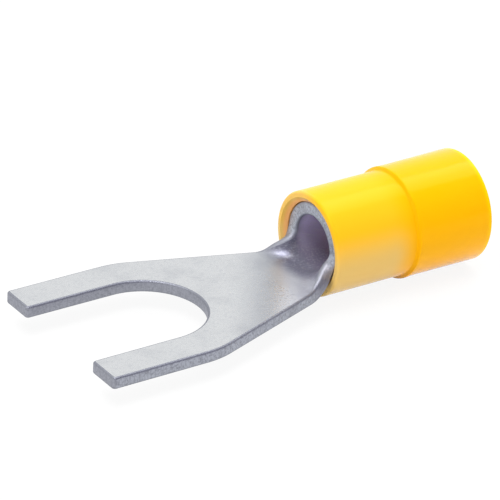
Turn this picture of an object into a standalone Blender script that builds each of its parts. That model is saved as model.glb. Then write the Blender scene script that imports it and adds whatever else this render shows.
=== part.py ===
"""Insulated fork terminal for an M8 stud, at its real size.

The fork lug is one sheet of tin plated copper: two prongs and a tongue that lie flat, and a neck that rolls up
into the crimp barrel. The insulation sleeve is a turned moulding pushed over that barrel.

+X runs along the barrel from the prong tips to the wire entry and +Z is up. The origin lies under the middle of
the terminal's length, level with the underside of the sleeve.
"""

import math

import bmesh
import bpy
from mathutils import Vector

MM = 0.001

# Fork and tongue, the flat part of the sheet
SLOT_WIDTH = 8.15 * MM
TONGUE_WIDTH = 13.54 * MM
TONGUE_THICKNESS = 0.84 * MM
PRONG_REACH = 6.7 * MM  # prong tips to the centre of the slot's round end
TIP_CORNER_RADIUS = 0.25 * MM
SHOULDER_OFFSET = 1.56 * MM  # centre of the slot's round end to the shoulders
SHOULDER_RADIUS = 6.0 * MM
CENTRE_TO_BARREL = 13.15 * MM  # centre of the slot's round end to the barrel's front face

# Neck, which rolls up from the tongue into the barrel
NECK_WIDTH = 6.46 * MM  # across the sheet before it is rolled
NECK_STRAIGHT = 0.65 * MM  # end of the taper to the barrel's corner fillets
NECK_RADIUS = 1.8 * MM  # fillet from the taper to the neck
ROLL_LENGTH = 2.55 * MM  # start of the roll to the barrel's front face
ROLL_POWER = 1.6  # how late along its length the neck rolls up

# Barrel, the rolled part of the sheet, with its brazed butt seam on top
BARREL_RADIUS = 2.85 * MM
BARREL_WALL = 0.9 * MM
BARREL_LENGTH = 6.2 * MM
BARREL_CORNER_RADIUS = 0.85 * MM  # fillet from the neck's edge to the barrel's front face
TONGUE_RISE = 0.345 * MM  # underside of the barrel up to the underside of the tongue
SEAM_WIDTH = 0.25 * MM
SEAM_DEPTH = 0.06 * MM

# Stamped edges of the sheet
EDGE_ROUND = 0.09 * MM
EDGE_BAND = 0.15 * MM  # width of the faces that run along every edge

# Insulation sleeve
SLEEVE_FRONT_RADIUS = 3.675 * MM
SLEEVE_FRONT_LENGTH = 6.55 * MM  # front face to the step
SLEEVE_REAR_RADIUS = 3.895 * MM  # just behind the step
SLEEVE_REAR_LENGTH = 6.05 * MM  # step to the wire entry
SLEEVE_MOUTH_RADIUS = 3.935 * MM  # at the wire entry
SLEEVE_LIP = 0.38 * MM  # front face of the sleeve ahead of the barrel's front face
SLEEVE_CLEARANCE = 0.05 * MM  # around the barrel and behind it
STEP_LENGTH = 0.15 * MM
FRONT_ROUND = 0.2 * MM
FRONT_CHAMFER = 0.36 * MM
MOUTH_ROUND = 0.12 * MM
MOUTH_CHAMFER = 0.15 * MM
WIRE_BORE_RADIUS = 3.08 * MM
GUIDE_LENGTH = 0.3 * MM  # short bore behind the barrel, as wide as the barrel's own
FUNNEL_LENGTH = 1.7 * MM

# Fineness of the meshes
EDGE_STEPS = 2
SHARP_ANGLE = math.radians(60)  # edges that turn more than this are rounded
CORNER_STEPS = 4
TIP_STEPS = 4
ACROSS_STEPS = 2 * CORNER_STEPS + TIP_STEPS
PRONG_STEPS = 4
SLOT_STEPS = 12
TONGUE_STEPS = 3
ROLL_STEPS = 7
FILLET_STEPS = 8
BARREL_STEPS = 9
BARREL_ROWS = 3
SLEEVE_STEPS = 64
STEP_STEPS = 5
FRONT_STEPS = 4
MOUTH_STEPS = 3
NUDGE = 0.001 * MM
MERGE = 0.001 * MM

# Places that follow from the sizes
SLOT_RADIUS = SLOT_WIDTH / 2
LENGTH = PRONG_REACH + CENTRE_TO_BARREL - SLEEVE_LIP + SLEEVE_FRONT_LENGTH + SLEEVE_REAR_LENGTH
TIP_X = -LENGTH / 2
SLOT_X = TIP_X + PRONG_REACH
SHOULDER_X = SLOT_X + SHOULDER_OFFSET
BARREL_X = SLOT_X + CENTRE_TO_BARREL
FILLET_X = BARREL_X - BARREL_CORNER_RADIUS
NECK_X = FILLET_X - NECK_STRAIGHT
ROLL_X = BARREL_X - ROLL_LENGTH
SLEEVE_X = BARREL_X - SLEEVE_LIP
BARREL_END_X = BARREL_X + BARREL_LENGTH
AXIS_HEIGHT = SLEEVE_MOUTH_RADIUS
ROLLED_RADIUS = BARREL_RADIUS - BARREL_WALL / 2
ROLLED_HALF = math.pi * ROLLED_RADIUS
TONGUE_HEIGHT = AXIS_HEIGHT - BARREL_RADIUS + TONGUE_RISE + TONGUE_THICKNESS / 2
TAPER = math.atan2((TONGUE_WIDTH - NECK_WIDTH) / 2, NECK_X - SHOULDER_X)


def clear_scene():
    """Empties the scene."""
    for item in list(bpy.data.objects):
        bpy.data.objects.remove(item, do_unlink=True)


def make_collection(name):
    """Adds a collection to the scene and returns it."""
    collection = bpy.data.collections.new(name)
    bpy.context.scene.collection.children.link(collection)
    return collection


def make_material(name, colour, roughness, metallic):
    """Returns a Principled BSDF material."""
    material = bpy.data.materials.new(name)
    material.use_nodes = True
    shader = material.node_tree.nodes["Principled BSDF"]
    shader.inputs["Base Color"].default_value = (*colour, 1.0)
    shader.inputs["Roughness"].default_value = roughness
    shader.inputs["Metallic"].default_value = metallic
    return material


def between(start, end, steps):
    """Returns points in even steps from start to end, with both."""
    return [start.lerp(end, step / steps) for step in range(steps + 1)]


def arc(centre, radius, start, end, steps):
    """Returns points along an arc, with angles in degrees from the first axis towards the second."""
    points = []
    for step in range(steps + 1):
        angle = math.radians(start + (end - start) * step / steps)
        points.append(centre + radius * Vector((math.cos(angle), math.sin(angle))))
    return points


# The flat blank: its points are (x, s), where s is the distance out from the centre line across the sheet

def half_width(x):
    """Returns half the blank's width at x, with the shoulder's and the neck's fillets."""
    shoulder_set = SHOULDER_RADIUS * math.tan(TAPER / 2)
    neck_set = NECK_RADIUS * math.tan(TAPER / 2)
    shoulder_start = SHOULDER_X - shoulder_set
    neck_end = NECK_X + neck_set
    if x <= shoulder_start:
        return TONGUE_WIDTH / 2
    if x >= neck_end:
        return NECK_WIDTH / 2
    if x <= shoulder_start + SHOULDER_RADIUS * math.sin(TAPER):
        drop = SHOULDER_RADIUS - math.sqrt(SHOULDER_RADIUS ** 2 - (x - shoulder_start) ** 2)
        return TONGUE_WIDTH / 2 - drop
    if x >= neck_end - NECK_RADIUS * math.sin(TAPER):
        rise = NECK_RADIUS - math.sqrt(NECK_RADIUS ** 2 - (neck_end - x) ** 2)
        return NECK_WIDTH / 2 + rise
    return TONGUE_WIDTH / 2 - (x - SHOULDER_X) * math.tan(TAPER)


def outline_at(x):
    """Returns the blank's side edge at x and the point one edge band inside it."""
    edge = Vector((x, half_width(x)))
    slope = (half_width(x + NUDGE) - half_width(x - NUDGE)) / (2 * NUDGE)
    inward = Vector((slope, -1.0)).normalized()
    return edge, edge + EDGE_BAND * inward


def tip_line(inset):
    """Returns the prong's rounded end in plan, from the slot to the outer side, set in from the edge."""
    radius = TIP_CORNER_RADIUS - inset
    inner = Vector((TIP_X + TIP_CORNER_RADIUS, SLOT_RADIUS + TIP_CORNER_RADIUS))
    outer = Vector((TIP_X + TIP_CORNER_RADIUS, TONGUE_WIDTH / 2 - TIP_CORNER_RADIUS))
    inner_corner = arc(inner, radius, 270, 180, CORNER_STEPS)
    outer_corner = arc(outer, radius, 180, 90, CORNER_STEPS)
    front = between(inner_corner[-1], outer_corner[0], TIP_STEPS)
    return inner_corner + front[1:-1] + outer_corner


def prong_rows():
    """Returns the rows across one prong, from its rounded end to the centre of the slot's round end."""
    edge = tip_line(0.0)
    rows = [[edge[0]] + tip_line(EDGE_BAND) + [edge[-1]]]
    start = TIP_X + TIP_CORNER_RADIUS
    for step in range(1, PRONG_STEPS):
        x = start + (SLOT_X - start) * step / PRONG_STEPS
        side, side_band = outline_at(x)
        slot = Vector((x, SLOT_RADIUS))
        slot_band = Vector((x, SLOT_RADIUS + EDGE_BAND))
        rows.append([slot] + between(slot_band, side_band, ACROSS_STEPS) + [side])
    return rows


def slot_rows():
    """Returns the rows that fan out from the slot's round end to the side edge."""
    centre = Vector((SLOT_X, 0.0))
    slot = arc(centre, SLOT_RADIUS, 90, 0, SLOT_STEPS)
    slot_band = arc(centre, SLOT_RADIUS + EDGE_BAND, 90, 0, SLOT_STEPS)
    rows = []
    for step in range(SLOT_STEPS + 1):
        side, side_band = outline_at(SLOT_X + (SLOT_RADIUS + EDGE_BAND) * step / SLOT_STEPS)
        rows.append([slot[step]] + between(slot_band[step], side_band, ACROSS_STEPS) + [side])
    return rows


def tongue_rows():
    """Returns the rows from behind the slot to the barrel's corner fillet, each from the centre line out."""
    behind_slot = SLOT_X + SLOT_RADIUS + EDGE_BAND
    flat = [behind_slot + (ROLL_X - behind_slot) * step / TONGUE_STEPS for step in range(1, TONGUE_STEPS)]
    rolled = [ROLL_X + (FILLET_X - ROLL_X) * step / ROLL_STEPS for step in range(ROLL_STEPS)]
    rows = []
    for x in flat + rolled:
        side, side_band = outline_at(x)
        rows.append(between(Vector((x, 0.0)), side_band, ACROSS_STEPS) + [side])
    return rows


def fillet_rows():
    """Returns the rows that end on the fillet between the neck's edge and the barrel's front face."""
    centre = Vector((FILLET_X, NECK_WIDTH / 2 + BARREL_CORNER_RADIUS))
    edge = arc(centre, BARREL_CORNER_RADIUS, 270, 360, FILLET_STEPS)
    band = arc(centre, BARREL_CORNER_RADIUS + EDGE_BAND, 270, 360, FILLET_STEPS)
    rows = []
    for step in range(FILLET_STEPS + 1):
        rows.append(between(Vector((band[step].x, 0.0)), band[step], ACROSS_STEPS) + [edge[step]])
    return rows


def closing_line(x):
    """Returns the points at x from the barrel's corner fillet round to the middle of the seam."""
    start = Vector((x, NECK_WIDTH / 2 + BARREL_CORNER_RADIUS))
    seam_side = Vector((x, ROLLED_HALF - SEAM_WIDTH / 2))
    return between(start, seam_side, BARREL_STEPS)[1:] + [Vector((x, ROLLED_HALF))]


# Rolling the blank up

def roll_progress(x):
    """Returns 0 where the sheet is flat and 1 where it is rolled into the full barrel."""
    share = (x - ROLL_X) / ROLL_LENGTH
    share = min(max(share, 0.0), 1.0)
    return (share * share * (3 - 2 * share)) ** ROLL_POWER


def roll_up(point):
    """Carries a point of the flat blank to its place on the middle of the rolled sheet."""
    x, across = point
    progress = roll_progress(x)
    height = TONGUE_HEIGHT + (AXIS_HEIGHT - ROLLED_RADIUS - TONGUE_HEIGHT) * progress
    if progress == 0.0:
        return Vector((x, across, height))
    bend_radius = ROLLED_RADIUS / progress
    angle = across / bend_radius
    return Vector((x, bend_radius * math.sin(angle), height + bend_radius * (1 - math.cos(angle))))


def sheet_thickness(point):
    """Returns the sheet's thickness: coined thinner on the tongue and sunk a little along the seam."""
    x, across = point
    thickness = TONGUE_THICKNESS + (BARREL_WALL - TONGUE_THICKNESS) * roll_progress(x)
    if ROLLED_HALF - across < NUDGE:
        thickness -= 2 * SEAM_DEPTH
    return thickness


def add_row(bm, points, full_thickness):
    """Adds the rolled points of one row, each weighted by its share of the full thickness."""
    weights = bm.verts.layers.deform.verify()
    row = []
    for point in points:
        vert = bm.verts.new(roll_up(point))
        vert[weights][0] = sheet_thickness(point) / full_thickness
        row.append(vert)
    return row


def join_rows(bm, front, back):
    """Fills the strip between two rows of the same length."""
    for step in range(len(front) - 1):
        bm.faces.new((front[step], back[step], back[step + 1], front[step + 1]))


def lay_half_sheet(bm, full_thickness):
    """Builds the middle surface of the sheet's left half, from the prong's tip to the barrel's end."""
    def add(points):
        return add_row(bm, points, full_thickness)

    fork = [add(points) for points in prong_rows() + slot_rows()]
    tip = add(tip_line(0.0)[1:-1])
    join_rows(bm, [fork[0][0]] + tip + [fork[0][-1]], fork[0][1:-1])
    for front, back in zip(fork, fork[1:]):
        join_rows(bm, front, back)
    neck = [fork[-1][1:]] + [add(points) for points in tongue_rows() + fillet_rows()]
    for front, back in zip(neck, neck[1:]):
        join_rows(bm, front, back)

    front_edge = [neck[-1][-1]] + add(closing_line(BARREL_X))
    closing = add(closing_line(BARREL_X + EDGE_BAND))
    join_rows(bm, front_edge, [neck[-1][-2]] + closing)
    ring = neck[-1][:-1] + closing
    start = Vector((BARREL_X + EDGE_BAND, 0.0))
    across = [point.y for point in fillet_rows()[-1][:-1] + closing_line(BARREL_X)]
    last_band = Vector((BARREL_END_X - EDGE_BAND, 0.0))
    stations = [point.x for point in between(start, last_band, BARREL_ROWS)[1:]] + [BARREL_END_X]
    for x in stations:
        next_ring = add([Vector((x, out)) for out in across])
        join_rows(bm, ring, next_ring)
        ring = next_ring


def make_fork_lug(collection, material):
    """Builds the fork lug: half of its sheet, mirrored, thickened and with its stamped edges rounded."""
    full_thickness = max(TONGUE_THICKNESS, BARREL_WALL)
    bm = bmesh.new()
    lay_half_sheet(bm, full_thickness)
    mesh = bpy.data.meshes.new("fork_lug")
    bm.to_mesh(mesh)
    bm.free()
    mesh.shade_smooth()
    mesh.materials.append(material)
    lug = bpy.data.objects.new("fork_lug", mesh)
    collection.objects.link(lug)
    lug.vertex_groups.new(name="thickness")

    mirror = lug.modifiers.new("both halves", "MIRROR")
    mirror.use_axis = (False, True, False)
    mirror.merge_threshold = MERGE

    solidify = lug.modifiers.new("sheet thickness", "SOLIDIFY")
    solidify.thickness = full_thickness
    solidify.offset = 0.0
    solidify.vertex_group = "thickness"
    solidify.use_even_offset = True

    bevel = lug.modifiers.new("stamped edges", "BEVEL")
    bevel.width = EDGE_ROUND
    bevel.segments = EDGE_STEPS
    bevel.limit_method = "ANGLE"
    bevel.angle_limit = SHARP_ANGLE
    bevel.use_clamp_overlap = False
    return lug


# The sleeve's section: its points are (radius, distance behind the sleeve's front face)

def step_points():
    """Returns the soft step between the sleeve's two sections, from the rear section forwards."""
    points = []
    for step in range(STEP_STEPS + 1):
        share = 1 - step / STEP_STEPS
        height = share * share * (3 - 2 * share)
        radius = SLEEVE_FRONT_RADIUS + (SLEEVE_REAR_RADIUS - SLEEVE_FRONT_RADIUS) * height
        points.append(Vector((radius, SLEEVE_FRONT_LENGTH + STEP_LENGTH * (share - 0.5))))
    return points


def sleeve_section():
    """Returns the sleeve's closed section, down its outer side from the wire entry and back up inside."""
    length = SLEEVE_FRONT_LENGTH + SLEEVE_REAR_LENGTH
    barrel_bore = BARREL_RADIUS + SLEEVE_CLEARANCE
    guide_bore = BARREL_RADIUS - BARREL_WALL
    barrel_stop = SLEEVE_LIP + BARREL_LENGTH + SLEEVE_CLEARANCE
    mouth = Vector((SLEEVE_MOUTH_RADIUS - MOUTH_ROUND, length - MOUTH_ROUND))
    front = Vector((SLEEVE_FRONT_RADIUS - FRONT_ROUND, FRONT_ROUND))
    outside = arc(mouth, MOUTH_ROUND, 90, 0, MOUTH_STEPS) + step_points()
    outside += arc(front, FRONT_ROUND, 0, -90, FRONT_STEPS)
    inside = [
        Vector((barrel_bore + FRONT_CHAMFER, 0.0)),
        Vector((barrel_bore, FRONT_CHAMFER)),
        Vector((barrel_bore, barrel_stop)),
        Vector((guide_bore, barrel_stop)),
        Vector((guide_bore, barrel_stop + GUIDE_LENGTH)),
        Vector((WIRE_BORE_RADIUS, barrel_stop + GUIDE_LENGTH + FUNNEL_LENGTH)),
        Vector((WIRE_BORE_RADIUS, length - MOUTH_CHAMFER)),
        Vector((WIRE_BORE_RADIUS + MOUTH_CHAMFER, length)),
    ]
    return outside + inside


def make_insulation_sleeve(collection, material):
    """Builds the sleeve by turning its section about the barrel's axis."""
    section = sleeve_section()
    bm = bmesh.new()
    verts = [bm.verts.new((point.x, 0.0, point.y)) for point in section]
    for step, vert in enumerate(verts):
        bm.edges.new((vert, verts[(step + 1) % len(verts)]))
    mesh = bpy.data.meshes.new("insulation_sleeve")
    bm.to_mesh(mesh)
    bm.free()
    mesh.materials.append(material)
    sleeve = bpy.data.objects.new("insulation_sleeve", mesh)
    sleeve.location = (SLEEVE_X, 0.0, AXIS_HEIGHT)
    sleeve.rotation_euler = (0.0, math.radians(90), 0.0)
    collection.objects.link(sleeve)

    turn = sleeve.modifiers.new("turned section", "SCREW")
    turn.axis = "Z"
    turn.angle = math.radians(360)
    turn.steps = SLEEVE_STEPS
    turn.render_steps = SLEEVE_STEPS
    turn.use_merge_vertices = True
    turn.merge_threshold = MERGE
    turn.use_smooth_shade = True
    return sleeve


def main():
    """Builds the fork terminal."""
    clear_scene()
    collection = make_collection("fork_terminal")
    tinned_copper = make_material("tinned_copper", (0.62, 0.64, 0.66), 0.42, 1.0)
    yellow_vinyl = make_material("yellow_vinyl", (0.95, 0.62, 0.02), 0.3, 0.0)
    make_fork_lug(collection, tinned_copper)
    make_insulation_sleeve(collection, yellow_vinyl)


main()
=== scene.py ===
"""Studio picture of an insulated fork terminal: a tinned copper fork lug in a stepped yellow vinyl sleeve.

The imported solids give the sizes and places. Two finer pieces stand for them: the lug, laid out as its flat
blank, rolled up and thickened, and the sleeve, turned from its section.
"""

import logging
import math
from collections.abc import Callable, Iterator
from contextlib import contextmanager
from dataclasses import dataclass
from enum import IntEnum

import bmesh
import bpy
from mathutils import Matrix, Vector


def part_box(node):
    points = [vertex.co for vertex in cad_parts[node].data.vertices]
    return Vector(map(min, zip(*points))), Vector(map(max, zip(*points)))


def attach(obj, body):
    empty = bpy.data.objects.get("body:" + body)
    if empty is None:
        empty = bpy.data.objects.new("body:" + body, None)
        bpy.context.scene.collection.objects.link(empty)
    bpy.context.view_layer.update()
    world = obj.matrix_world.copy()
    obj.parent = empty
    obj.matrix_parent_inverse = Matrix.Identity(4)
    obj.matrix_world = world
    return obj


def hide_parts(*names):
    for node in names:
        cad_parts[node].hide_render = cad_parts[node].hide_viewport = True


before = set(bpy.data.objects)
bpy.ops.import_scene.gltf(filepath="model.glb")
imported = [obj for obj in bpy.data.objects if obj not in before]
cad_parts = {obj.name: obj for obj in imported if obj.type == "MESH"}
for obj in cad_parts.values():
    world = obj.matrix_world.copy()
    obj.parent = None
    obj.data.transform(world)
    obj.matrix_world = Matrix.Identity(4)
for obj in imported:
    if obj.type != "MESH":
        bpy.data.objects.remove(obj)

MM = 0.001
MERGE = 0.0005 * MM
NUDGE = 0.001 * MM
SHEET_MAP = "sheet"  # a corner attribute: along the terminal, across the flat blank, up through the sheet
THICKNESS = "thickness"  # a vertex group: the share of the full thickness
EDGE_WEIGHT = "bevel_weight_edge"

Colour = tuple[float, float, float]
Span = tuple[float, float]
Socket = bpy.types.NodeSocket
Inputs = dict[int | str, object]  # what goes into a node's inputs, by their names or numbers

PICTURE_CENTRE = (-0.721, 0.743, 4.218)  # what the camera looks at, in millimetres
WHITE: Colour = (1.0, 1.0, 1.0)
COMMON: Span = (0.3, 0.7)  # the levels between which most of a noise pattern lies

log = logging.getLogger("fork_terminal")


def take(piece: bpy.types.Object) -> None:
    """Makes one object the only selected and the active one."""
    bpy.ops.object.select_all(action="DESELECT")
    piece.select_set(True)
    bpy.context.view_layer.objects.active = piece


@contextmanager
def editing(piece: bpy.types.Object) -> Iterator[None]:
    """Works in edit mode on one object.

    Args:
        piece: The mesh object to edit.
    """
    take(piece)
    bpy.ops.object.mode_set(mode="EDIT")
    yield
    bpy.ops.object.mode_set(mode="OBJECT")


def weld() -> None:
    """Merges, in edit mode, the vertices that lie on each other."""
    bpy.ops.mesh.select_all(action="SELECT")
    bpy.ops.mesh.remove_doubles(threshold=MERGE)


def apply_modifier(piece: bpy.types.Object, kind: str, **settings: object) -> None:
    """Adds a modifier, sets it up and applies it.

    Args:
        piece: The object that gets the modifier.
        kind: The modifier's type.
        settings: The modifier's own settings.
    """
    take(piece)
    modifier = piece.modifiers.new(kind.lower(), kind)
    for name, value in settings.items():
        setattr(modifier, name, value)
    bpy.ops.object.modifier_apply(modifier=modifier.name)


def smoothstep(share: float) -> float:
    """Eases a share from 0 to 1, level at both ends."""
    share = min(max(share, 0.0), 1.0)
    return share * share * (3 - 2 * share)


def arc_point(centre: Vector, radius: float, degrees: float) -> Vector:
    """Returns a point on a flat arc, its angle counted from the first axis towards the second."""
    angle = math.radians(degrees)
    return centre + radius * Vector((math.cos(angle), math.sin(angle)))


class NodeBench:
    """A material's or a world's node tree, with short ways to add and wire nodes."""

    def __init__(self, tree: bpy.types.NodeTree) -> None:
        """Takes over a node tree and empties it."""
        self.tree = tree
        tree.nodes.clear()

    def add(self, kind: str, inputs: Inputs | None = None, **settings: object) -> bpy.types.Node:
        """Adds a node.

        Args:
            kind: The node's type.
            inputs: What goes into its inputs.
            settings: The node's own settings.

        Returns:
            The new node.
        """
        node = self.tree.nodes.new(kind)
        for name, value in settings.items():
            setattr(node, name, value)
        self.feed(node, inputs or {})
        return node

    def feed(self, node: bpy.types.Node, inputs: Inputs) -> None:
        """Links sockets to a node's inputs, or sets the inputs to numbers or colours.

        Args:
            node: The node.
            inputs: The sockets or values.
        """
        for name, value in inputs.items():
            socket = node.inputs[name]
            if isinstance(value, bpy.types.NodeSocket):
                self.tree.links.new(value, socket)
            elif isinstance(value, tuple) and len(value) == 3 and socket.type == "RGBA":
                socket.default_value = (*value, 1.0)
            else:
                socket.default_value = value

    def point(self, kind: str, output: str, **settings: object) -> Socket:
        """Returns the place that a node gives for the shading point, in millimetres."""
        place = self.add(kind, **settings).outputs[output]
        return self.add("ShaderNodeVectorMath", {0: place, "Scale": 1 / MM}, operation="SCALE").outputs[0]

    def stretched(self, vector: Socket, factors: tuple[float, float, float], turn: float = 0.0) -> Socket:
        """Returns a vector turned about its third axis, then scaled along each axis.

        Args:
            vector: The vector.
            factors: The scale along each axis.
            turn: The turn in degrees.

        Returns:
            The socket of the mapped vector.
        """
        turned = self.add("ShaderNodeMapping", {"Vector": vector, "Rotation": (0.0, 0.0, math.radians(turn))})
        return self.add("ShaderNodeMapping", {"Vector": turned.outputs[0], "Scale": factors}).outputs[0]

    def axes(self, vector: Socket) -> tuple[Socket, ...]:
        """Splits a vector into its three numbers."""
        return tuple(self.add("ShaderNodeSeparateXYZ", {0: vector}).outputs)

    def noise(self, vector: Socket, scale: float, detail: float = 2.0, rough: float = 0.5) -> Socket:
        """Returns smooth random values from 0 to 1.

        Args:
            vector: The point, in millimetres.
            scale: The bumps for each millimetre.
            detail: The finer layers.
            rough: The strength of each finer layer.

        Returns:
            The socket of the value.
        """
        inputs = {"Vector": vector, "Scale": scale, "Detail": detail, "Roughness": rough}
        return self.add("ShaderNodeTexNoise", inputs).outputs[0]

    def math(self, operation: str, first: object, second: object = 0.0) -> Socket:
        """Returns the result of one sum on two values."""
        return self.add("ShaderNodeMath", {0: first, 1: second}, operation=operation).outputs[0]

    def past(self, length: Socket, place: float) -> Socket:
        """Returns how many millimetres a length reaches past a place that is given in metres."""
        return self.math("SUBTRACT", length, place / MM)

    def span(self, value: Socket, start: float, end: float, low: float = 0.0, high: float = 1.0) -> Socket:
        """Carries a value smoothly from one span to another.

        Args:
            value: The value.
            start: The value that becomes low.
            end: The value that becomes high.
            low: The result at start and beyond.
            high: The result at end and beyond.

        Returns:
            The socket of the result.
        """
        inputs = {"Value": value, "From Min": start, "From Max": end, "To Min": low, "To Max": high}
        return self.add("ShaderNodeMapRange", inputs, interpolation_type="SMOOTHSTEP").outputs["Result"]

    def blend(self, share: Socket, first: object, second: object) -> Socket:
        """Mixes two colours.

        Args:
            share: How much of the second colour shows.
            first: The first colour.
            second: The second colour.

        Returns:
            The socket of the mixed colour.
        """
        inputs = {"Factor": share, 6: first, 7: second}
        return self.add("ShaderNodeMix", inputs, data_type="RGBA").outputs[2]

    def bump(self, height: Socket, depth: float, under: Socket | None = None) -> Socket:
        """Returns a normal bent by a height pattern.

        Args:
            height: The height, from 0 to 1.
            depth: The height's real size at 1.
            under: A normal to start from.

        Returns:
            The socket of the bent normal.
        """
        node = self.add("ShaderNodeBump", {"Height": height, "Distance": depth})
        if under is not None:
            self.feed(node, {"Normal": under})
        return node.outputs["Normal"]


def new_material(name: str) -> tuple[bpy.types.Material, NodeBench, bpy.types.Node]:
    """Makes a material with one Principled shader.

    Args:
        name: The material's name.

    Returns:
        The material, its node bench and its shader.
    """
    material = bpy.data.materials.new(name)
    material.use_nodes = True
    bench = NodeBench(material.node_tree)
    shader = bench.add("ShaderNodeBsdfPrincipled")
    bench.add("ShaderNodeOutputMaterial", {"Surface": shader.outputs["BSDF"]})
    return material, bench, shader


@dataclass(frozen=True)
class TinnedSheet:
    """Matte tin plating on the rolled faces of the sheet: speckled, scratched, and duller towards the bore.

    Painted shade darkens the tin towards the neck's bend and deepens in the bend, and the bore is painted a shaded
    purple, darkest along its floor. Its fades are spans of millimetres on the blank, and those along it count from
    either end of the bend.
    """

    bright: Colour = (0.68, 0.695, 0.71)
    # painted shade: the darker tin that the tongue fades to towards the neck's bend; the random clouds and speckles
    # use it too
    soft: Colour = (0.44, 0.46, 0.50)
    # painted shade: the deep shade in the neck's bend
    bent: Colour = (0.17, 0.17, 0.225)
    # painted shade: the shaded purple inside the bore, lighter up its sides and darkest along its floor
    bore: Colour = (0.64, 0.58, 0.84)
    bore_floor_shade: Colour = (0.21, 0.19, 0.26)
    slant: float = 0.7
    shade_towards_bend: Span = (-4.3, 0.0)
    bending: Span = (0.0, 1.6)
    slanted_bending: Span = (0.3, 3.0)
    slanted_share: float = 0.65
    floor_side: Span = (1.0, 5.0)
    bore_entry: Span = (-0.4, 0.8)
    roughness: Span = (0.25, 0.33)
    roughening: Span = (-1.5, 0.5)
    bend_roughness: float = 0.05
    bore_metallic: float = 0.15
    dulling: Span = (2.2, -1.8)
    bore_dulling: Span = (0.5, -0.5)
    clouds_per_mm: float = 0.5
    cloud_levels: Span = (0.45, 0.75)
    cloud_share: float = 0.3
    speckles_per_mm: float = 6.0
    speckle_levels: Span = (0.46, 0.68)
    speckle_share: float = 0.35
    speckle_depth: float = 0.014 * MM
    scratch_stretch: tuple[float, float, float] = (0.4, 12.0, 1.0)
    scratch_turn: float = 24.0
    scratch_levels: Span = (0.62, 0.72)
    scratch_share: float = 0.25
    scratch_depth: float = 0.002 * MM

    def material(self, bend_start: float, bend_end: float) -> bpy.types.Material:
        """Returns the finish as a material.

        Args:
            bend_start: Where along the terminal the sheet starts to roll up.
            bend_end: Where it is fully rolled.

        Returns:
            The material.
        """
        material, bench, shader = new_material("tinned_sheet")
        place = bench.point("ShaderNodeAttribute", "Vector", attribute_name=SHEET_MAP)
        along, across, _ = bench.axes(place)
        past_start, past_end = bench.past(along, bend_start), bench.past(along, bend_end)
        slanting = bench.math("SUBTRACT", past_start, bench.math("MULTIPLY", across, self.slant))
        speckle = bench.noise(place, self.speckles_per_mm, 4.0, 0.6)
        streaks = bench.noise(bench.stretched(place, self.scratch_stretch, self.scratch_turn), 1.0)
        scratch = bench.span(streaks, *self.scratch_levels)

        cloud = bench.span(bench.noise(place, self.clouds_per_mm, 3.0), *self.cloud_levels, 0.0, self.cloud_share)
        # painted shade darkening the tin towards the neck's bend, slanted across the sheet, plus random clouds
        shade_and_cloud = bench.math("ADD", bench.span(slanting, *self.shade_towards_bend), cloud)
        tin = bench.blend(bench.math("MINIMUM", shade_and_cloud, 1.0), self.bright, self.soft)
        # painted shade deepening in the neck's bend, slanted across the sheet
        slanted = bench.span(slanting, *self.slanted_bending, 0.0, self.slanted_share)
        tin = bench.blend(bench.math("MAXIMUM", bench.span(past_start, *self.bending), slanted), tin, self.bent)
        # painted shade inside the bore, darkest along its floor
        side = bench.span(bench.math("ABSOLUTE", across), *self.floor_side)
        bore = bench.blend(side, self.bore_floor_shade, self.bore)
        tin = bench.blend(bench.span(past_end, *self.bore_entry), tin, bore)
        # random speckles in the darker tone that the painted shade fades to
        tin = bench.blend(bench.span(speckle, *self.speckle_levels, 0.0, self.speckle_share), tin, self.soft)
        scratched = bench.math("MULTIPLY", scratch, self.scratch_share)

        grain = bench.span(speckle, *COMMON, *self.roughness)
        rougher = bench.span(past_start, *self.roughening, 0.0, self.bend_roughness)
        outside = bench.span(past_end, *self.bore_dulling)
        polished = bench.math("MINIMUM", bench.span(slanting, *self.dulling), outside)
        bench.feed(shader, {
            "Base Color": bench.blend(scratched, tin, self.bright),
            "Roughness": bench.math("ADD", grain, rougher),
            "Metallic": bench.span(polished, 0.0, 1.0, self.bore_metallic, 1.0),
            "Normal": bench.bump(scratch, self.scratch_depth, bench.bump(speckle, self.speckle_depth)),
        })
        return material


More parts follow.
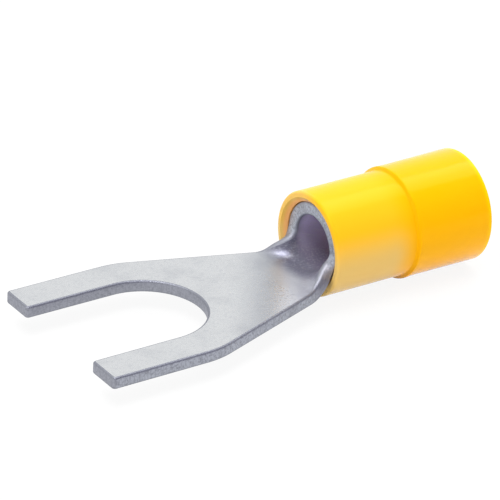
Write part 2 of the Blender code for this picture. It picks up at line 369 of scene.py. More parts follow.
@dataclass(frozen=True)
class ShearedEdge:
    """The sheet's cut sides: finely mottled, with faint shear marks and a darker line along the top and bottom.

    Painted shade darkens the slot's walls, the prongs' end faces and the sides along the neck's bend, and painted
    light brightens the barrel's cut faces, the ring at its front. Its fades are spans of millimetres on the blank,
    past the tips, the slot's side or either end of the bend. Only its rims are shares of half the sheet's thickness.
    """

    cut: Colour = (0.46, 0.48, 0.54)
    # painted shade on the slot's walls and the prongs' end faces
    slot_and_tip_shade: Colour = (0.37, 0.38, 0.43)
    # painted shade on the cut sides along the neck's bend
    neck: Colour = (0.36, 0.36, 0.40)
    # painted light on the barrel's cut faces, the ring at its front
    ring_light: Colour = (0.50, 0.53, 0.60)
    torn: Colour = (0.27, 0.28, 0.32)
    drawn: Colour = (0.34, 0.35, 0.40)
    slot_side: Span = (0.4, 0.1)
    slot_end: Span = (-1.0, -2.0)
    tip_face: Span = (0.3, 0.15)
    bending: Span = (0.0, 1.6)
    ring_edge: Span = (-0.4, 0.0)
    rims: Span = (0.6, 0.9)
    rim_share: float = 0.8
    marks_per_mm: float = 8.0
    mark_stretch: tuple[float, float, float] = (1.0, 1.0, 0.15)
    mark_levels: Span = (0.45, 0.7)
    mark_share: float = 0.7
    mottles_per_mm: float = 7.0
    mottle_levels: Span = (0.45, 0.65)
    mottle_share: float = 0.9
    mottle_depth: float = 0.015 * MM
    roughness: float = 0.55

    def material(
        self, thickness: float, slot_width: float, tip: float, bend_start: float, bend_end: float
    ) -> bpy.types.Material:
        """Returns the finish as a material.

        Args:
            thickness: The sheet's thickness.
            slot_width: The width of the slot, whose walls get painted shade.
            tip: Where along the terminal the prongs start, whose end faces get painted shade too.
            bend_start: Where the sheet starts to roll up.
            bend_end: Where it is fully rolled.

        Returns:
            The material.
        """
        material, bench, shader = new_material("sheared_edge")
        place = bench.point("ShaderNodeAttribute", "Vector", attribute_name=SHEET_MAP)
        along, across, depth = bench.axes(place)
        past_start, past_end = bench.past(along, bend_start), bench.past(along, bend_end)
        # painted shade on the slot's walls and the prongs' end faces
        beside_slot = bench.span(bench.past(bench.math("ABSOLUTE", across), slot_width / 2), *self.slot_side)
        in_slot = bench.math("MULTIPLY", beside_slot, bench.span(past_start, *self.slot_end))
        at_tip = bench.span(bench.past(along, tip), *self.tip_face)
        # painted shade along the neck's bend; the rims turn to the drawn tone there too
        bent = bench.span(past_start, *self.bending)
        metal = bench.blend(bench.math("MAXIMUM", in_slot, at_tip), self.cut, self.slot_and_tip_shade)
        metal = bench.blend(bent, metal, self.neck)
        # painted light on the barrel's cut faces
        metal = bench.blend(bench.span(past_end, *self.ring_edge), metal, self.ring_light)

        marks = bench.noise(bench.stretched(place, self.mark_stretch), self.marks_per_mm, 2.0, 0.6)
        marked = bench.span(marks, *self.mark_levels, 0.0, self.mark_share)
        mottle = bench.noise(place, self.mottles_per_mm, 3.0, 0.6)
        worn = bench.math("MAXIMUM", marked, bench.span(mottle, *self.mottle_levels, 0.0, self.mottle_share))
        metal = bench.blend(worn, metal, self.torn)
        level = bench.math("DIVIDE", bench.math("ABSOLUTE", depth), thickness / MM / 2)
        rim = bench.blend(bent, self.torn, self.drawn)
        bench.feed(shader, {
            "Base Color": bench.blend(bench.span(level, *self.rims, 0.0, self.rim_share), metal, rim),
            "Roughness": self.roughness,
            "Metallic": 1.0,
            "Normal": bench.bump(mottle, self.mottle_depth),
        })
        return material


@dataclass(frozen=True)
class YellowVinyl:
    """Glossy moulded vinyl: deep yellow behind, and paler over the barrel, where its layer is thinner. A painted
    reflection makes it paler towards the underside and on the front face, it turns greyer along the bore's front
    rim, a painted shade darkens the line of the step, and a painted glow brightens the rear mouth.

    Its fades are spans of millimetres past the front, the step, the rear, the axis or the bore.
    """

    deep: Colour = (0.86, 0.405, 0.001)
    pale: Colour = (0.84, 0.44, 0.012)
    # painted reflection: the paler, greyer yellow towards the underside and on the front face
    painted_reflection: Colour = (0.71, 0.47, 0.15)
    # painted shade: the darker line along the step
    step_shade: Colour = (0.82, 0.35, 0.001)
    # greyer yellow along the bore's front rim
    bore_rim_grey: Colour = (0.86, 0.42, 0.15)
    # painted glow: the brighter yellow at the rear mouth, as if lit through the rim
    painted_glow: Colour = (0.98, 0.54, 0.001)
    tint: Colour = (1.0, 0.92, 0.1)
    underside: Span = (2.0, -0.8)
    end_face: Span = (0.3, 0.1)
    end_face_side: Span = (-1.0, 1.5)
    end_face_reflection: float = 0.6
    rim_length: Span = (0.6, 0.4)
    rim_wall: Span = (0.35, 0.05)
    deepening: Span = (-2.0, 0.0)
    step_shade_place: float = -0.05
    step_shade_side: Span = (0.28, 0.05)
    step_shade_share: float = 0.25
    glow: Span = (-0.5, 0.0)
    clouds_per_mm: float = 0.25
    cloud_share: float = 0.05
    dimples_per_mm: float = 1.5
    dimple_depth: float = 0.002 * MM
    roughness: Span = (0.13, 0.19)
    refraction: float = 1.29

    def material(
        self, front_x: float, step_x: float, rear_x: float, bore: float, axis_height: float
    ) -> bpy.types.Material:
        """Returns the finish as a material.

        Args:
            front_x: Where the sleeve starts.
            step_x: Where its front section ends.
            rear_x: Where it ends.
            bore: The radius of its hole around the barrel.
            axis_height: The height of its axis.

        Returns:
            The material.
        """
        material, bench, shader = new_material("yellow_vinyl")
        place = bench.point("ShaderNodeTexCoord", "Object")
        along, sideways, height = bench.axes(place)
        behind, past_step = bench.past(along, front_x), bench.past(along, step_x)
        above = bench.past(height, axis_height)
        spread = bench.math("ADD", bench.math("POWER", sideways, 2.0), bench.math("POWER", above, 2.0))
        past_bore = bench.past(bench.math("SQRT", spread), bore)
        # painted reflection, paler towards the underside and on the front face, more to one side of it
        lit_side = bench.span(sideways, *self.end_face_side, 0.0, self.end_face_reflection)
        end_face = bench.math("MULTIPLY", bench.span(behind, *self.end_face), lit_side)
        reflection_share = bench.math("MAXIMUM", bench.span(above, *self.underside), end_face)
        colour = bench.blend(reflection_share, self.pale, self.painted_reflection)
        # greyer along the bore's front rim
        rim = bench.math("MULTIPLY", bench.span(behind, *self.rim_length), bench.span(past_bore, *self.rim_wall))
        colour = bench.blend(rim, colour, self.bore_rim_grey)
        colour = bench.blend(bench.span(past_step, *self.deepening), colour, self.deep)
        # painted shade along the step
        off_step_shade = bench.math("ABSOLUTE", bench.math("SUBTRACT", past_step, self.step_shade_place))
        colour = bench.blend(bench.span(off_step_shade, *self.step_shade_side, 0.0, self.step_shade_share), colour, self.step_shade)
        # painted glow at the rear mouth
        colour = bench.blend(bench.span(bench.past(along, rear_x), *self.glow), colour, self.painted_glow)
        cloud = bench.span(bench.noise(place, self.clouds_per_mm), *COMMON, 0.0, self.cloud_share)
        skin = bench.noise(place, self.dimples_per_mm)
        bench.feed(shader, {
            "Base Color": bench.blend(cloud, colour, self.pale),
            "Roughness": bench.span(skin, *COMMON, *self.roughness),
            "Specular Tint": self.tint,
            "IOR": self.refraction,
            "Normal": bench.bump(skin, self.dimple_depth),
        })
        return material


class Face(IntEnum):
    """The faces of the thickened sheet, by their material slot."""

    OUTER = 0
    INNER = 1
    CUT = 2


@dataclass
class ForkLug:
    """The fork lug: one sheet of tinned copper, forked in front and rolled into the crimp barrel behind.

    A point of the flat blank is (x, s), with s the distance out from the centre line across the sheet.
    """

    tip_x: float
    end_x: float
    tongue_width: float
    axis_height: float
    sheet: TinnedSheet
    edge: ShearedEdge
    slot_width: float = 8.15 * MM
    tongue_thickness: float = 0.84 * MM
    prong_reach: float = 6.7 * MM
    tip_corner_radius: float = 0.25 * MM
    shoulder_offset: float = 1.56 * MM
    shoulder_radius: float = 6.0 * MM
    neck_width: float = 6.46 * MM
    neck_straight: float = 0.65 * MM
    neck_radius: float = 1.8 * MM
    roll_length: float = 2.55 * MM
    roll_power: float = 1.6
    barrel_radius: float = 2.85 * MM
    barrel_wall: float = 0.9 * MM
    barrel_length: float = 6.2 * MM
    barrel_corner_radius: float = 0.85 * MM
    tongue_rise: float = 0.345 * MM
    seam_width: float = 0.25 * MM
    seam_depth: float = 0.06 * MM
    edge_band: float = 0.2 * MM
    neck_band: float = 0.42 * MM
    band_lead: float = 1.5 * MM
    band_rise: float = 2.0 * MM
    die_roll: float = 0.16 * MM
    neck_roll: float = 0.34 * MM
    neck_roll_lag: float = 0.3 * MM
    neck_roll_rise: float = 1.2 * MM
    fillet_lag: float = 0.2 * MM
    fillet_fade: float = 0.7 * MM
    burr_round: float = 0.1 * MM
    smooth_degrees: float = 40.0
    die_roll_steps: int = 5
    burr_steps: int = 2
    corner_steps: int = 8
    tip_steps: int = 16
    prong_steps: int = 24
    slot_steps: int = 40
    tongue_steps: int = 10
    roll_steps: int = 28
    fillet_steps: int = 16
    closing_steps: int = 28
    barrel_rows: int = 8

    def __post_init__(self) -> None:
        """Works out the places that follow from the sizes."""
        self.slot_radius = self.slot_width / 2
        self.slot_x = self.tip_x + self.prong_reach
        self.shoulder_x = self.slot_x + self.shoulder_offset
        self.barrel_x = self.end_x - self.barrel_length
        self.fillet_x = self.barrel_x - self.barrel_corner_radius
        self.neck_x = self.fillet_x - self.neck_straight
        self.roll_x = self.barrel_x - self.roll_length
        self.rolled_radius = self.barrel_radius - self.barrel_wall / 2
        self.rolled_half = math.pi * self.rolled_radius
        self.tongue_height = self.axis_height - self.barrel_radius + self.tongue_rise + self.tongue_thickness / 2
        self.taper = math.atan2((self.tongue_width - self.neck_width) / 2, self.neck_x - self.shoulder_x)
        self.across_steps = 2 * self.corner_steps + self.tip_steps

    def half_width(self, x: float) -> float:
        """Returns half the blank's width at x, with the shoulder's and the neck's fillets."""
        shoulder_start = self.shoulder_x - self.shoulder_radius * math.tan(self.taper / 2)
        neck_end = self.neck_x + self.neck_radius * math.tan(self.taper / 2)
        if x <= shoulder_start:
            return self.tongue_width / 2
        if x >= neck_end:
            return self.neck_width / 2
        if x <= shoulder_start + self.shoulder_radius * math.sin(self.taper):
            reach = x - shoulder_start
            return self.tongue_width / 2 - self.shoulder_radius + math.sqrt(self.shoulder_radius ** 2 - reach ** 2)
        if x >= neck_end - self.neck_radius * math.sin(self.taper):
            reach = neck_end - x
            return self.neck_width / 2 + self.neck_radius - math.sqrt(self.neck_radius ** 2 - reach ** 2)
        return self.tongue_width / 2 - (x - self.shoulder_x) * math.tan(self.taper)

    def side(self, x: float, inset: float) -> Vector:
        """Returns the blank's side at x, set in square to the edge."""
        slope = (self.half_width(x + NUDGE) - self.half_width(x - NUDGE)) / (2 * NUDGE)
        return Vector((x, self.half_width(x))) + inset * Vector((slope, -1.0)).normalized()

    def band(self, x: float) -> float:
        """Returns the width at x of the faces along the side, which widen along the neck for its wide die roll."""
        share = smoothstep((x - self.roll_x + self.band_lead) / self.band_rise)
        return self.edge_band + (self.neck_band - self.edge_band) * share

    def roll_width(self, place: Vector) -> float:
        """Returns how wide the die rolled the sheet's upper edge at a point of the blank: widest along the neck."""
        along = smoothstep((place.x - self.roll_x - self.neck_roll_lag) / self.neck_roll_rise)
        past_fillet = smoothstep((abs(place.y) - self.neck_width / 2 - self.fillet_lag) / self.fillet_fade)
        return self.die_roll + (self.neck_roll - self.die_roll) * along * (1 - past_fillet)

    def tip_line(self, step: int, inset: float) -> Vector:
        """Returns a point of a prong's rounded end, counted from the slot to the outer side.

        Args:
            step: The point's number, from 0 to across_steps.
            inset: How far the line is set in from the edge.

        Returns:
            The point of the blank.
        """
        x = self.tip_x + self.tip_corner_radius
        radius = self.tip_corner_radius - inset
        inner = Vector((x, self.slot_radius + self.tip_corner_radius))
        outer = Vector((x, self.tongue_width / 2 - self.tip_corner_radius))
        if step <= self.corner_steps:
            return arc_point(inner, radius, 270 - 90 * step / self.corner_steps)
        past = step - self.corner_steps - self.tip_steps
        if past >= 0:
            return arc_point(outer, radius, 180 - 90 * past / self.corner_steps)
        start, end = arc_point(inner, radius, 180), arc_point(outer, radius, 180)
        return start.lerp(end, (step - self.corner_steps) / self.tip_steps)

    def banded(self, inner: Vector, inner_band: Vector, x: float, column: int) -> Vector:
        """Returns a point of a row that runs from an inner edge to the side, with a band along each.

        Args:
            inner: The row's start on the inner edge.
            inner_band: The row's point one band inside the inner edge.
            x: Where the row meets the side.
            column: The point's number along the row.

        Returns:
            The point of the blank.
        """
        if column == 0:
            return inner
        if column == self.across_steps + 2:
            return self.side(x, 0.0)
        return inner_band.lerp(self.side(x, self.edge_band), (column - 1) / self.across_steps)

    def fork_point(self, row: int, column: int) -> Vector:
        """Places the fork's patch: a prong, then the fan from the slot's round end to the side."""
        last = self.across_steps + 2
        if row == 0:
            return self.tip_line(min(max(column - 1, 0), self.across_steps), 0.0)
        if row == 1:
            if column in (0, last):
                return self.tip_line(min(column, self.across_steps), 0.0)
            return self.tip_line(column - 1, self.edge_band)
        start = self.tip_x + self.tip_corner_radius
        step = row - 1
        if step < self.prong_steps:
            x = start + (self.slot_x - start) * step / self.prong_steps
            slot = Vector((x, self.slot_radius))
            return self.banded(slot, slot + Vector((0.0, self.edge_band)), x, column)
        share = (step - self.prong_steps) / self.slot_steps
        centre = Vector((self.slot_x, 0.0))
        slot = arc_point(centre, self.slot_radius, 90 - 90 * share)
        slot_band = arc_point(centre, self.slot_radius + self.edge_band, 90 - 90 * share)
        return self.banded(slot, slot_band, self.slot_x + (self.slot_radius + self.edge_band) * share, column)

    def tongue_point(self, row: int, column: int) -> Vector:
        """Places the tongue's patch, from behind the slot to the start of the barrel's corner fillet."""
        behind_slot = self.slot_x + self.slot_radius + self.edge_band
        if row <= self.tongue_steps:
            x = behind_slot + (self.roll_x - behind_slot) * row / self.tongue_steps
        else:
            x = self.roll_x + (self.fillet_x - self.roll_x) * (row - self.tongue_steps) / self.roll_steps
        if column == self.across_steps + 1:
            return self.side(x, 0.0)
        return Vector((x, 0.0)).lerp(self.side(x, self.band(x)), column / self.across_steps)

    def fillet_point(self, row: int, column: int) -> Vector:
        """Places the patch that ends on the fillet between the neck's edge and the barrel's front face."""
        centre = Vector((self.fillet_x, self.neck_width / 2 + self.barrel_corner_radius))
        degrees = 270 + 90 * row / self.fillet_steps
        if column == self.across_steps + 1:
            return arc_point(centre, self.barrel_corner_radius, degrees)
        band = arc_point(centre, self.barrel_corner_radius + self.neck_band, degrees)
        return Vector((band.x, 0.0)).lerp(band, column / self.across_steps)

    def closing_point(self, row: int, column: int) -> Vector:
        """Places the narrow patch along the barrel's front face, from the corner fillet to the seam."""
        x = self.barrel_x + self.neck_band * row
        return Vector((x, self.closing_across(column)))

    def closing_across(self, column: int) -> float:
        """Returns how far out a column of the barrel's closing part lies."""
        start = self.neck_width / 2 + self.barrel_corner_radius
        if column > self.closing_steps:
            return self.rolled_half
        return start + (self.rolled_half - self.seam_width / 2 - start) * column / self.closing_steps

    def barrel_point(self, row: int, column: int) -> Vector:
        """Places the barrel's patch, from one band behind its front face to its rear end."""
        start = self.barrel_x + self.neck_band
        last_band = self.end_x - self.edge_band
        x = self.end_x if row > self.barrel_rows else start + (last_band - start) * row / self.barrel_rows
        if column <= self.across_steps:
            return Vector((x, self.fillet_point(self.fillet_steps, column).y))
        return Vector((x, self.closing_across(column - self.across_steps)))

    def lay_patch(self, rows: int, columns: int, place: Callable[[int, int], Vector]) -> bpy.types.Object:
        """Lays one flat patch of the blank's left half.

        Args:
            rows: The steps along the patch.
            columns: The steps across the patch.
            place: Gives the point of the blank for a row and a column.

        Returns:
            The patch, a grid moved onto those points.
        """
        bpy.ops.mesh.primitive_grid_add(x_subdivisions=rows, y_subdivisions=columns, size=1.0)
        patch = bpy.context.object
        for vert in patch.data.vertices:
            row = round((vert.co.x + 0.5) * rows)
            column = round((vert.co.y + 0.5) * columns)
            vert.co = (*place(row, column), 0.0)
        return patch

    def lay_blank(self) -> bpy.types.Object:
        """Lays out the flat blank: the patches of one half, joined, welded and mirrored.

        Returns:
            The blank, with both halves.
        """
        across = self.across_steps
        patches = [
            self.lay_patch(1 + self.prong_steps + self.slot_steps, across + 2, self.fork_point),
            self.lay_patch(self.tongue_steps + self.roll_steps, across + 1, self.tongue_point),
            self.lay_patch(self.fillet_steps, across + 1, self.fillet_point),
            self.lay_patch(1, self.closing_steps + 1, self.closing_point),
            self.lay_patch(self.barrel_rows + 1, across + self.closing_steps + 1, self.barrel_point),
        ]
        take(patches[0])
        for patch in patches[1:]:
            patch.select_set(True)
        bpy.ops.object.join()
        blank = bpy.context.object
        blank.name = blank.data.name = "tinned_fork_lug"
        with editing(blank):
            weld()
            bpy.ops.mesh.normals_make_consistent(inside=False)
        apply_modifier(blank, "MIRROR", use_axis=(False, True, False), merge_threshold=MERGE)
        return blank

    def roll_progress(self, x: float) -> float:
        """Returns 0 where the sheet is flat and 1 where it is rolled into the full barrel."""
        return smoothstep((x - self.roll_x) / self.roll_length) ** self.roll_power

    def sheet_height(self, x: float) -> float:
        """Returns the height of the middle of the sheet on the centre line."""
        under_barrel = self.axis_height - self.rolled_radius
        return self.tongue_height + (under_barrel - self.tongue_height) * self.roll_progress(x)

    def sheet_thickness(self, x: float, across: float) -> float:
        """Returns the thickness: coined thinner on the tongue and sunk a little along the seam."""
        thickness = self.tongue_thickness + (self.barrel_wall - self.tongue_thickness) * self.roll_progress(x)
        if self.rolled_half - abs(across) < NUDGE:
            thickness -= 2 * self.seam_depth
        return thickness

    def rolled_up(self, x: float, across: float) -> Vector:
        """Carries a point of the flat blank to its place on the middle of the rolled sheet."""
        progress = self.roll_progress(x)
        height = self.sheet_height(x)
        if progress == 0.0:
            return Vector((x, across, height))
        bend_radius = self.rolled_radius / progress
        angle = across / bend_radius
        return Vector((x, bend_radius * math.sin(angle), height + bend_radius * (1 - math.cos(angle))))

    def unrolled(self, point: Vector, side: float) -> Vector:
        """Finds the point of the blank that a point of the finished lug came from.

        Args:
            point: The point of the lug.
            side: Above 0 on the left half of the lug and below 0 on the right, which settles the seam.

        Returns:
            Its place along and across the blank, and its height above the middle of the sheet.
        """
        progress = self.roll_progress(point.x)
        height = self.sheet_height(point.x)
        if progress == 0.0:
            return Vector((point.x, point.y, point.z - height))
        bend_radius = self.rolled_radius / progress
        down = height + bend_radius - point.z
        angle = math.copysign(math.atan2(abs(point.y), down), side)
        return Vector((point.x, angle * bend_radius, bend_radius - math.hypot(point.y, down)))

    def roll(self, lug: bpy.types.Object) -> None:
        """Rolls the blank up, closes its seam and gives it its thickness."""
        full = max(self.tongue_thickness, self.barrel_wall)
        lug.vertex_groups.new(name=THICKNESS)
        bm = bmesh.new()
        bm.from_mesh(lug.data)
        weights = bm.verts.layers.deform.verify()
        for vert in bm.verts:
            x, across, _ = vert.co
            vert[weights][0] = self.sheet_thickness(x, across) / full
            vert.co = self.rolled_up(x, across)
        bm.to_mesh(lug.data)
        bm.free()
        with editing(lug):
            weld()
        for _ in Face:
            lug.data.materials.append(None)
        apply_modifier(
            lug, "SOLIDIFY", thickness=full, offset=0.0, vertex_group=THICKNESS, use_even_offset=True,
            material_offset=Face.INNER, material_offset_rim=Face.CUT,
        )

    def round_edges(self, lug: bpy.types.Object) -> None:
        """Rounds the stamped edges: wide where the die drew the sheet's top down, narrow below."""
        def stamped(edge: bmesh.types.BMEdge) -> bool:
            kinds = {face.material_index == Face.CUT for face in edge.link_faces}
            return len(kinds) == 2

        def on_sheet(edge: bmesh.types.BMEdge) -> Vector:
            middle = (edge.verts[0].co + edge.verts[1].co) / 2
            return self.unrolled(middle, middle.y)

        with editing(lug):
            bpy.ops.mesh.select_all(action="DESELECT")
            bpy.ops.mesh.select_mode(type="EDGE")
            bm = bmesh.from_edit_mesh(lug.data)
            bottom = [edge for edge in bm.edges if stamped(edge) and on_sheet(edge).z <= 0]
            log.info("lug edges rounded below: %d", len(bottom))
            for edge in bottom:
                edge.select_set(True)
            bmesh.update_edit_mesh(lug.data)
            bpy.ops.mesh.bevel(
                offset=self.burr_round, segments=self.burr_steps, affect="EDGES", clamp_overlap=False, material=-1
            )
        bm = bmesh.new()
        bm.from_mesh(lug.data)
        weights = bm.edges.layers.float.new(EDGE_WEIGHT)
        top = [edge for edge in bm.edges if stamped(edge) and on_sheet(edge).z > 0]
        for edge in top:
            edge[weights] = self.roll_width(on_sheet(edge)) / self.neck_roll
        log.info("lug edges rounded above: %d", len(top))
        bm.to_mesh(lug.data)
        bm.free()
        apply_modifier(
            lug, "BEVEL", limit_method="WEIGHT", width=self.neck_roll, segments=self.die_roll_steps,
            use_clamp_overlap=False, material=Face.CUT,
        )
        lug.data.attributes.remove(lug.data.attributes[EDGE_WEIGHT])

    def write_sheet_map(self, lug: bpy.types.Object) -> None:
        """Notes on each face corner the point of the blank that it came from, for the finishes to follow."""
        mesh = lug.data
        attribute = mesh.attributes.new(SHEET_MAP, "FLOAT_VECTOR", "CORNER")
        for face in mesh.polygons:
            side = 1.0 if face.center.y >= 0 else -1.0
            for corner in face.loop_indices:
                point = mesh.vertices[mesh.loops[corner].vertex_index].co
                attribute.data[corner].vector = self.unrolled(point, side)

    def build(self) -> bpy.types.Object:
        """Builds and dresses the lug.

        Returns:
            The finished piece.
        """
        lug = self.lay_blank()
        self.roll(lug)
        self.round_edges(lug)
        self.write_sheet_map(lug)
        take(lug)
        bpy.ops.object.shade_smooth_by_angle(angle=math.radians(self.smooth_degrees))
        skin = self.sheet.material(self.roll_x, self.barrel_x)
        lug.data.materials[Face.OUTER] = lug.data.materials[Face.INNER] = skin
        lug.data.materials[Face.CUT] = self.edge.material(
            self.tongue_thickness, self.slot_width, self.tip_x, self.roll_x, self.barrel_x
        )
        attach(lug, "root")
        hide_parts("fork_lug")
        return lug


@dataclass
class InsulationSleeve:
    """The vinyl sleeve, turned from its section: a narrow front over the barrel and a wider rear for the wire."""

    front_x: float
    rear_x: float
    mouth_radius: float
    axis_height: float
    vinyl: YellowVinyl
    front_radius: float = 3.675 * MM
    front_length: float = 6.55 * MM
    rear_radius: float = 3.895 * MM
    step_length: float = 0.15 * MM
    step_round: float = 0.07 * MM
    rim_radius: float = 3.93 * MM
    rim_length: float = 0.9 * MM
    rim_round: float = 0.54 * MM
    front_round: float = 0.2 * MM
    front_chamfer: float = 0.36 * MM
    mouth_round: float = 0.12 * MM
    mouth_chamfer: float = 0.15 * MM
    barrel_bore: float = 2.90 * MM
    guide_bore: float = 1.95 * MM
    wire_bore: float = 3.08 * MM
    barrel_stop: float = 6.63 * MM
    guide_length: float = 0.3 * MM
    funnel_length: float = 1.7 * MM
    smooth_degrees: float = 30.0
    turn_steps: int = 160

    def __post_init__(self) -> None:
        """Works out the places that follow from the sizes."""
        self.length = self.rear_x - self.front_x
        self.step_start = self.front_length - self.step_length / 2
        self.step_end = self.front_length + self.step_length / 2
        self.rim_end = self.front_length + self.rim_length

    def section(self) -> list[tuple[float, float]]:
        """Lists the corners of the section as (distance behind the front face, radius), round from the front."""
        guide_end = self.barrel_stop + self.guide_length
        return [
            (0.0, self.barrel_bore + self.front_chamfer),
            (0.0, self.front_radius),
            (self.step_start, self.front_radius),
            (self.step_end, self.rim_radius),
            (self.rim_end, self.rear_radius),
            (self.length, self.mouth_radius),
            (self.length, self.wire_bore + self.mouth_chamfer),
            (self.length - self.mouth_chamfer, self.wire_bore),
            (guide_end + self.funnel_length, self.wire_bore),
            (guide_end, self.guide_bore),
            (self.barrel_stop, self.guide_bore),
            (self.barrel_stop, self.barrel_bore),
            (self.front_chamfer, self.barrel_bore),
        ]

    def roundings(self) -> list[tuple[float, float, float, int]]:
        """Lists the rounded corners as (distance behind the front face, radius, size of the rounding, steps)."""
        return [
            (0.0, self.front_radius, self.front_round, 10),
            (self.length, self.mouth_radius, self.mouth_round, 8),
            (self.step_start, self.front_radius, self.step_round, 4),
            (self.step_end, self.rim_radius, self.step_round, 6),
            (self.rim_end, self.rear_radius, self.rim_round, 6),
        ]

    def corner(self, behind: float, radius: float) -> Vector:
        """Returns the place of a corner of the section, in the plane above the axis."""
        return Vector((self.front_x + behind, 0.0, self.axis_height + radius))

    def trace_section(self) -> bpy.types.Object:
        """Draws the section by extruding one vertex from corner to corner.

        Returns:
            The section's outline, in the plane above the axis.
        """
        corners = [self.corner(behind, radius) for behind, radius in self.section()]
        bpy.ops.mesh.primitive_plane_add(size=1.0)
        outline = bpy.context.object
        outline.name = outline.data.name = "yellow_sleeve"
        with editing(outline):
            bpy.ops.mesh.select_mode(type="VERT")
            bpy.ops.mesh.select_all(action="SELECT")
            bpy.ops.mesh.merge(type="CENTER")
            bpy.ops.transform.translate(value=corners[0])
            for start, end in zip(corners, corners[1:] + corners[:1]):
                bpy.ops.mesh.extrude_vertices_move(TRANSFORM_OT_translate={"value": end - start})
            weld()
        return outline

    def round_corner(self, outline: bpy.types.Object, behind: float, radius: float, size: float, steps: int) -> None:
        """Rounds one corner of the section.

        Args:
            outline: The section.
            behind: The corner's distance behind the front face.
            radius: The corner's distance from the axis.
            size: The length that the rounding takes from each side.
            steps: The steps of the rounding.
        """
        corner = self.corner(behind, radius)
        with editing(outline):
            bpy.ops.mesh.select_all(action="DESELECT")
            bpy.ops.mesh.select_mode(type="VERT")
            bm = bmesh.from_edit_mesh(outline.data)
            nearest = min(bm.verts, key=lambda vert: (vert.co - corner).length)
            nearest.select_set(True)
            bmesh.update_edit_mesh(outline.data)
            bpy.ops.mesh.bevel(offset=size, segments=steps, affect="VERTICES", clamp_overlap=False)

    def build(self) -> bpy.types.Object:
        """Builds and dresses the sleeve.

        Returns:
            The finished piece.
        """
        sleeve = self.trace_section()
        for behind, radius, size, steps in self.roundings():
            self.round_corner(sleeve, behind, radius, size, steps)
        with editing(sleeve):
            bpy.ops.mesh.select_all(action="SELECT")
            bpy.ops.mesh.spin(
                steps=self.turn_steps, angle=math.tau, center=(0.0, 0.0, self.axis_height), axis=(1.0, 0.0, 0.0)
            )
            weld()
            bpy.ops.mesh.normals_make_consistent(inside=False)
        take(sleeve)
        bpy.ops.object.shade_smooth_by_angle(angle=math.radians(self.smooth_degrees))
        step_x = self.front_x + self.front_length
        sleeve.data.materials.append(
            self.vinyl.material(self.front_x, step_x, self.rear_x, self.barrel_bore, self.axis_height)
        )
        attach(sleeve, "root")
        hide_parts("insulation_sleeve")
        return sleeve


@dataclass
class Softbox:
    """A square soft lamp that looks at the terminal."""

    name: str
    azimuth: float
    elevation: float
    distance: float
    size: float
    radiance: float
    mirrored: bool = True

    def place(self, target: Vector) -> None:
        """Hangs the lamp.

        Args:
            target: What the lamp looks at.
        """
        back = direction(self.azimuth, self.elevation)
        bpy.ops.object.light_add(type="AREA", location=target + self.distance * back)
        lamp = bpy.context.object
        lamp.name = self.name
        lamp.rotation_euler = back.to_track_quat("Z", "Y").to_euler()
        lamp.data.shape = "SQUARE"
        lamp.data.size = self.size
        lamp.data.energy = self.radiance * math.pi * self.size ** 2
        lamp.visible_glossy = self.mirrored


def direction(azimuth: float, elevation: float) -> Vector:
    """Returns the way from the terminal to a viewer; azimuth 0 stands at -Y and 90 at +X."""
    turn, rise = math.radians(azimuth), math.radians(elevation)
    return Vector((math.sin(turn) * math.cos(rise), -math.cos(turn) * math.cos(rise), math.sin(rise)))


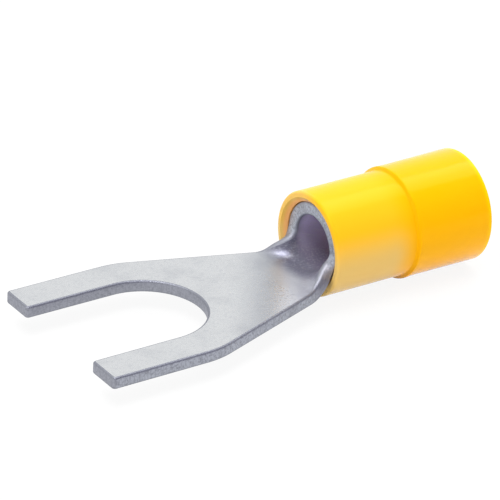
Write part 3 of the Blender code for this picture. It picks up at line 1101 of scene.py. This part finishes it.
@dataclass
class Studio:
    """The pale floor, the lamps, the white surroundings and the camera."""

    target: Vector
    camera_azimuth: float = -34.848
    camera_elevation: float = 27.591
    camera_roll: float = 2.805
    camera_distance: float = 268.06 * MM
    camera_lens: float = 288.64
    camera_sensor: float = 36.0
    camera_clip: float = 10 * MM
    floor_radius: float = 2.0
    floor_sides: int = 96
    floor_colour: Colour = (0.82, 0.82, 0.82)
    shadow_share: float = 0.1
    world_level: float = 0.58
    dim_azimuth: float = 10.0
    dim_elevation: float = 35.0
    dim_edge: Span = (0.35, 0.7)
    dim_colour: Colour = (0.26, 0.245, 0.355)

    def lay_floor(self) -> None:
        """Lays the floor, white but for the terminal's soft shadow, and plain matte to diffuse light."""
        bpy.ops.mesh.primitive_circle_add(vertices=self.floor_sides, radius=self.floor_radius, fill_type="NGON")
        floor = bpy.context.object
        floor.name = "floor"
        material = bpy.data.materials.new("pale_floor")
        material.use_nodes = True
        bench = NodeBench(material.node_tree)
        matte = bench.add("ShaderNodeBsdfDiffuse", {"Color": self.floor_colour})
        glow = bench.add("ShaderNodeEmission")
        path = bench.add("ShaderNodeLightPath").outputs
        seen = bench.math("MAXIMUM", path["Is Camera Ray"], path["Is Glossy Ray"])
        seen = bench.math("MAXIMUM", seen, path["Is Transmission Ray"])
        share = bench.math("MULTIPLY", seen, 1 - self.shadow_share)
        mix = bench.add("ShaderNodeMixShader", {0: share, 1: matte.outputs[0], 2: glow.outputs[0]})
        bench.add("ShaderNodeOutputMaterial", {"Surface": mix.outputs[0]})
        floor.data.materials.append(material)

    def light_surroundings(self) -> None:
        """Sets the world: white all round, a plain level of soft light, and a dim side for the metal to show."""
        world = bpy.data.worlds.new("studio")
        world.use_nodes = True
        bpy.context.scene.world = world
        bench = NodeBench(world.node_tree)
        path = bench.add("ShaderNodeLightPath").outputs
        ray = bench.add("ShaderNodeTexCoord").outputs["Generated"]
        dim_side = direction(self.dim_azimuth, self.dim_elevation)
        towards = bench.add("ShaderNodeVectorMath", {0: ray, 1: dim_side}, operation="DOT_PRODUCT")
        dim = bench.span(towards.outputs["Value"], *self.dim_edge)
        mirrored = bench.blend(dim, WHITE, self.dim_colour)
        plain = (self.world_level,) * 3
        seen = bench.blend(path["Is Glossy Ray"], plain, mirrored)
        white = bench.math("MAXIMUM", path["Is Camera Ray"], path["Is Transmission Ray"])
        background = bench.add("ShaderNodeBackground", {"Color": bench.blend(white, seen, WHITE)})
        bench.add("ShaderNodeOutputWorld", {"Surface": background.outputs[0]})

    def hang_lamps(self) -> None:
        """Hangs the lamps."""
        lamps = [
            Softbox("key_softbox", azimuth=-61.0, elevation=73.0, distance=0.5, size=0.25, radiance=9.0),
            Softbox("back_softbox", azimuth=140.0, elevation=60.0, distance=0.8, size=0.6, radiance=3.8,
                    mirrored=False),
            Softbox("side_softbox", azimuth=103.0, elevation=55.0, distance=0.8, size=0.4, radiance=2.2),
            Softbox("fill_softbox", azimuth=-95.0, elevation=15.0, distance=0.6, size=0.4, radiance=1.6,
                    mirrored=False),
        ]
        for lamp in lamps:
            lamp.place(self.target)

    def set_camera(self) -> None:
        """Sets up the camera at the photograph's viewing angle."""
        back = direction(self.camera_azimuth, self.camera_elevation)
        bpy.ops.object.camera_add(location=self.target + self.camera_distance * back)
        camera = bpy.context.object
        camera.name = "photo_camera"
        level = back.to_track_quat("Z", "Y").to_matrix()
        camera.rotation_euler = (level @ Matrix.Rotation(math.radians(self.camera_roll), 3, "Z")).to_euler()
        camera.data.lens = self.camera_lens
        camera.data.sensor_width = self.camera_sensor
        camera.data.clip_start = self.camera_clip
        bpy.context.scene.camera = camera

    def build(self) -> None:
        """Builds the studio."""
        self.lay_floor()
        self.light_surroundings()
        self.hang_lamps()
        self.set_camera()
        bpy.context.scene.view_settings.view_transform = "Standard"


def main() -> None:
    """Builds the fork terminal and its studio."""
    logging.basicConfig(level=logging.INFO, format="%(name)s: %(message)s")
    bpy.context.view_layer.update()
    lug_low, lug_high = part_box("fork_lug")
    sleeve_low, sleeve_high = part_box("insulation_sleeve")
    axis_height = (sleeve_low.z + sleeve_high.z) / 2

    lug = ForkLug(
        tip_x=lug_low.x, end_x=lug_high.x, tongue_width=lug_high.y - lug_low.y, axis_height=axis_height,
        sheet=TinnedSheet(), edge=ShearedEdge(),
    ).build()
    log.info("%s: %d faces", lug.name, len(lug.data.polygons))
    sleeve = InsulationSleeve(
        front_x=sleeve_low.x, rear_x=sleeve_high.x, mouth_radius=(sleeve_high.y - sleeve_low.y) / 2,
        axis_height=axis_height, vinyl=YellowVinyl(),
    ).build()
    log.info("%s: %d faces", sleeve.name, len(sleeve.data.polygons))
    Studio(target=Vector(PICTURE_CENTRE) * MM).build()
    log.info("studio: floor, lamps and camera")


if __name__ == "__main__":
    main()
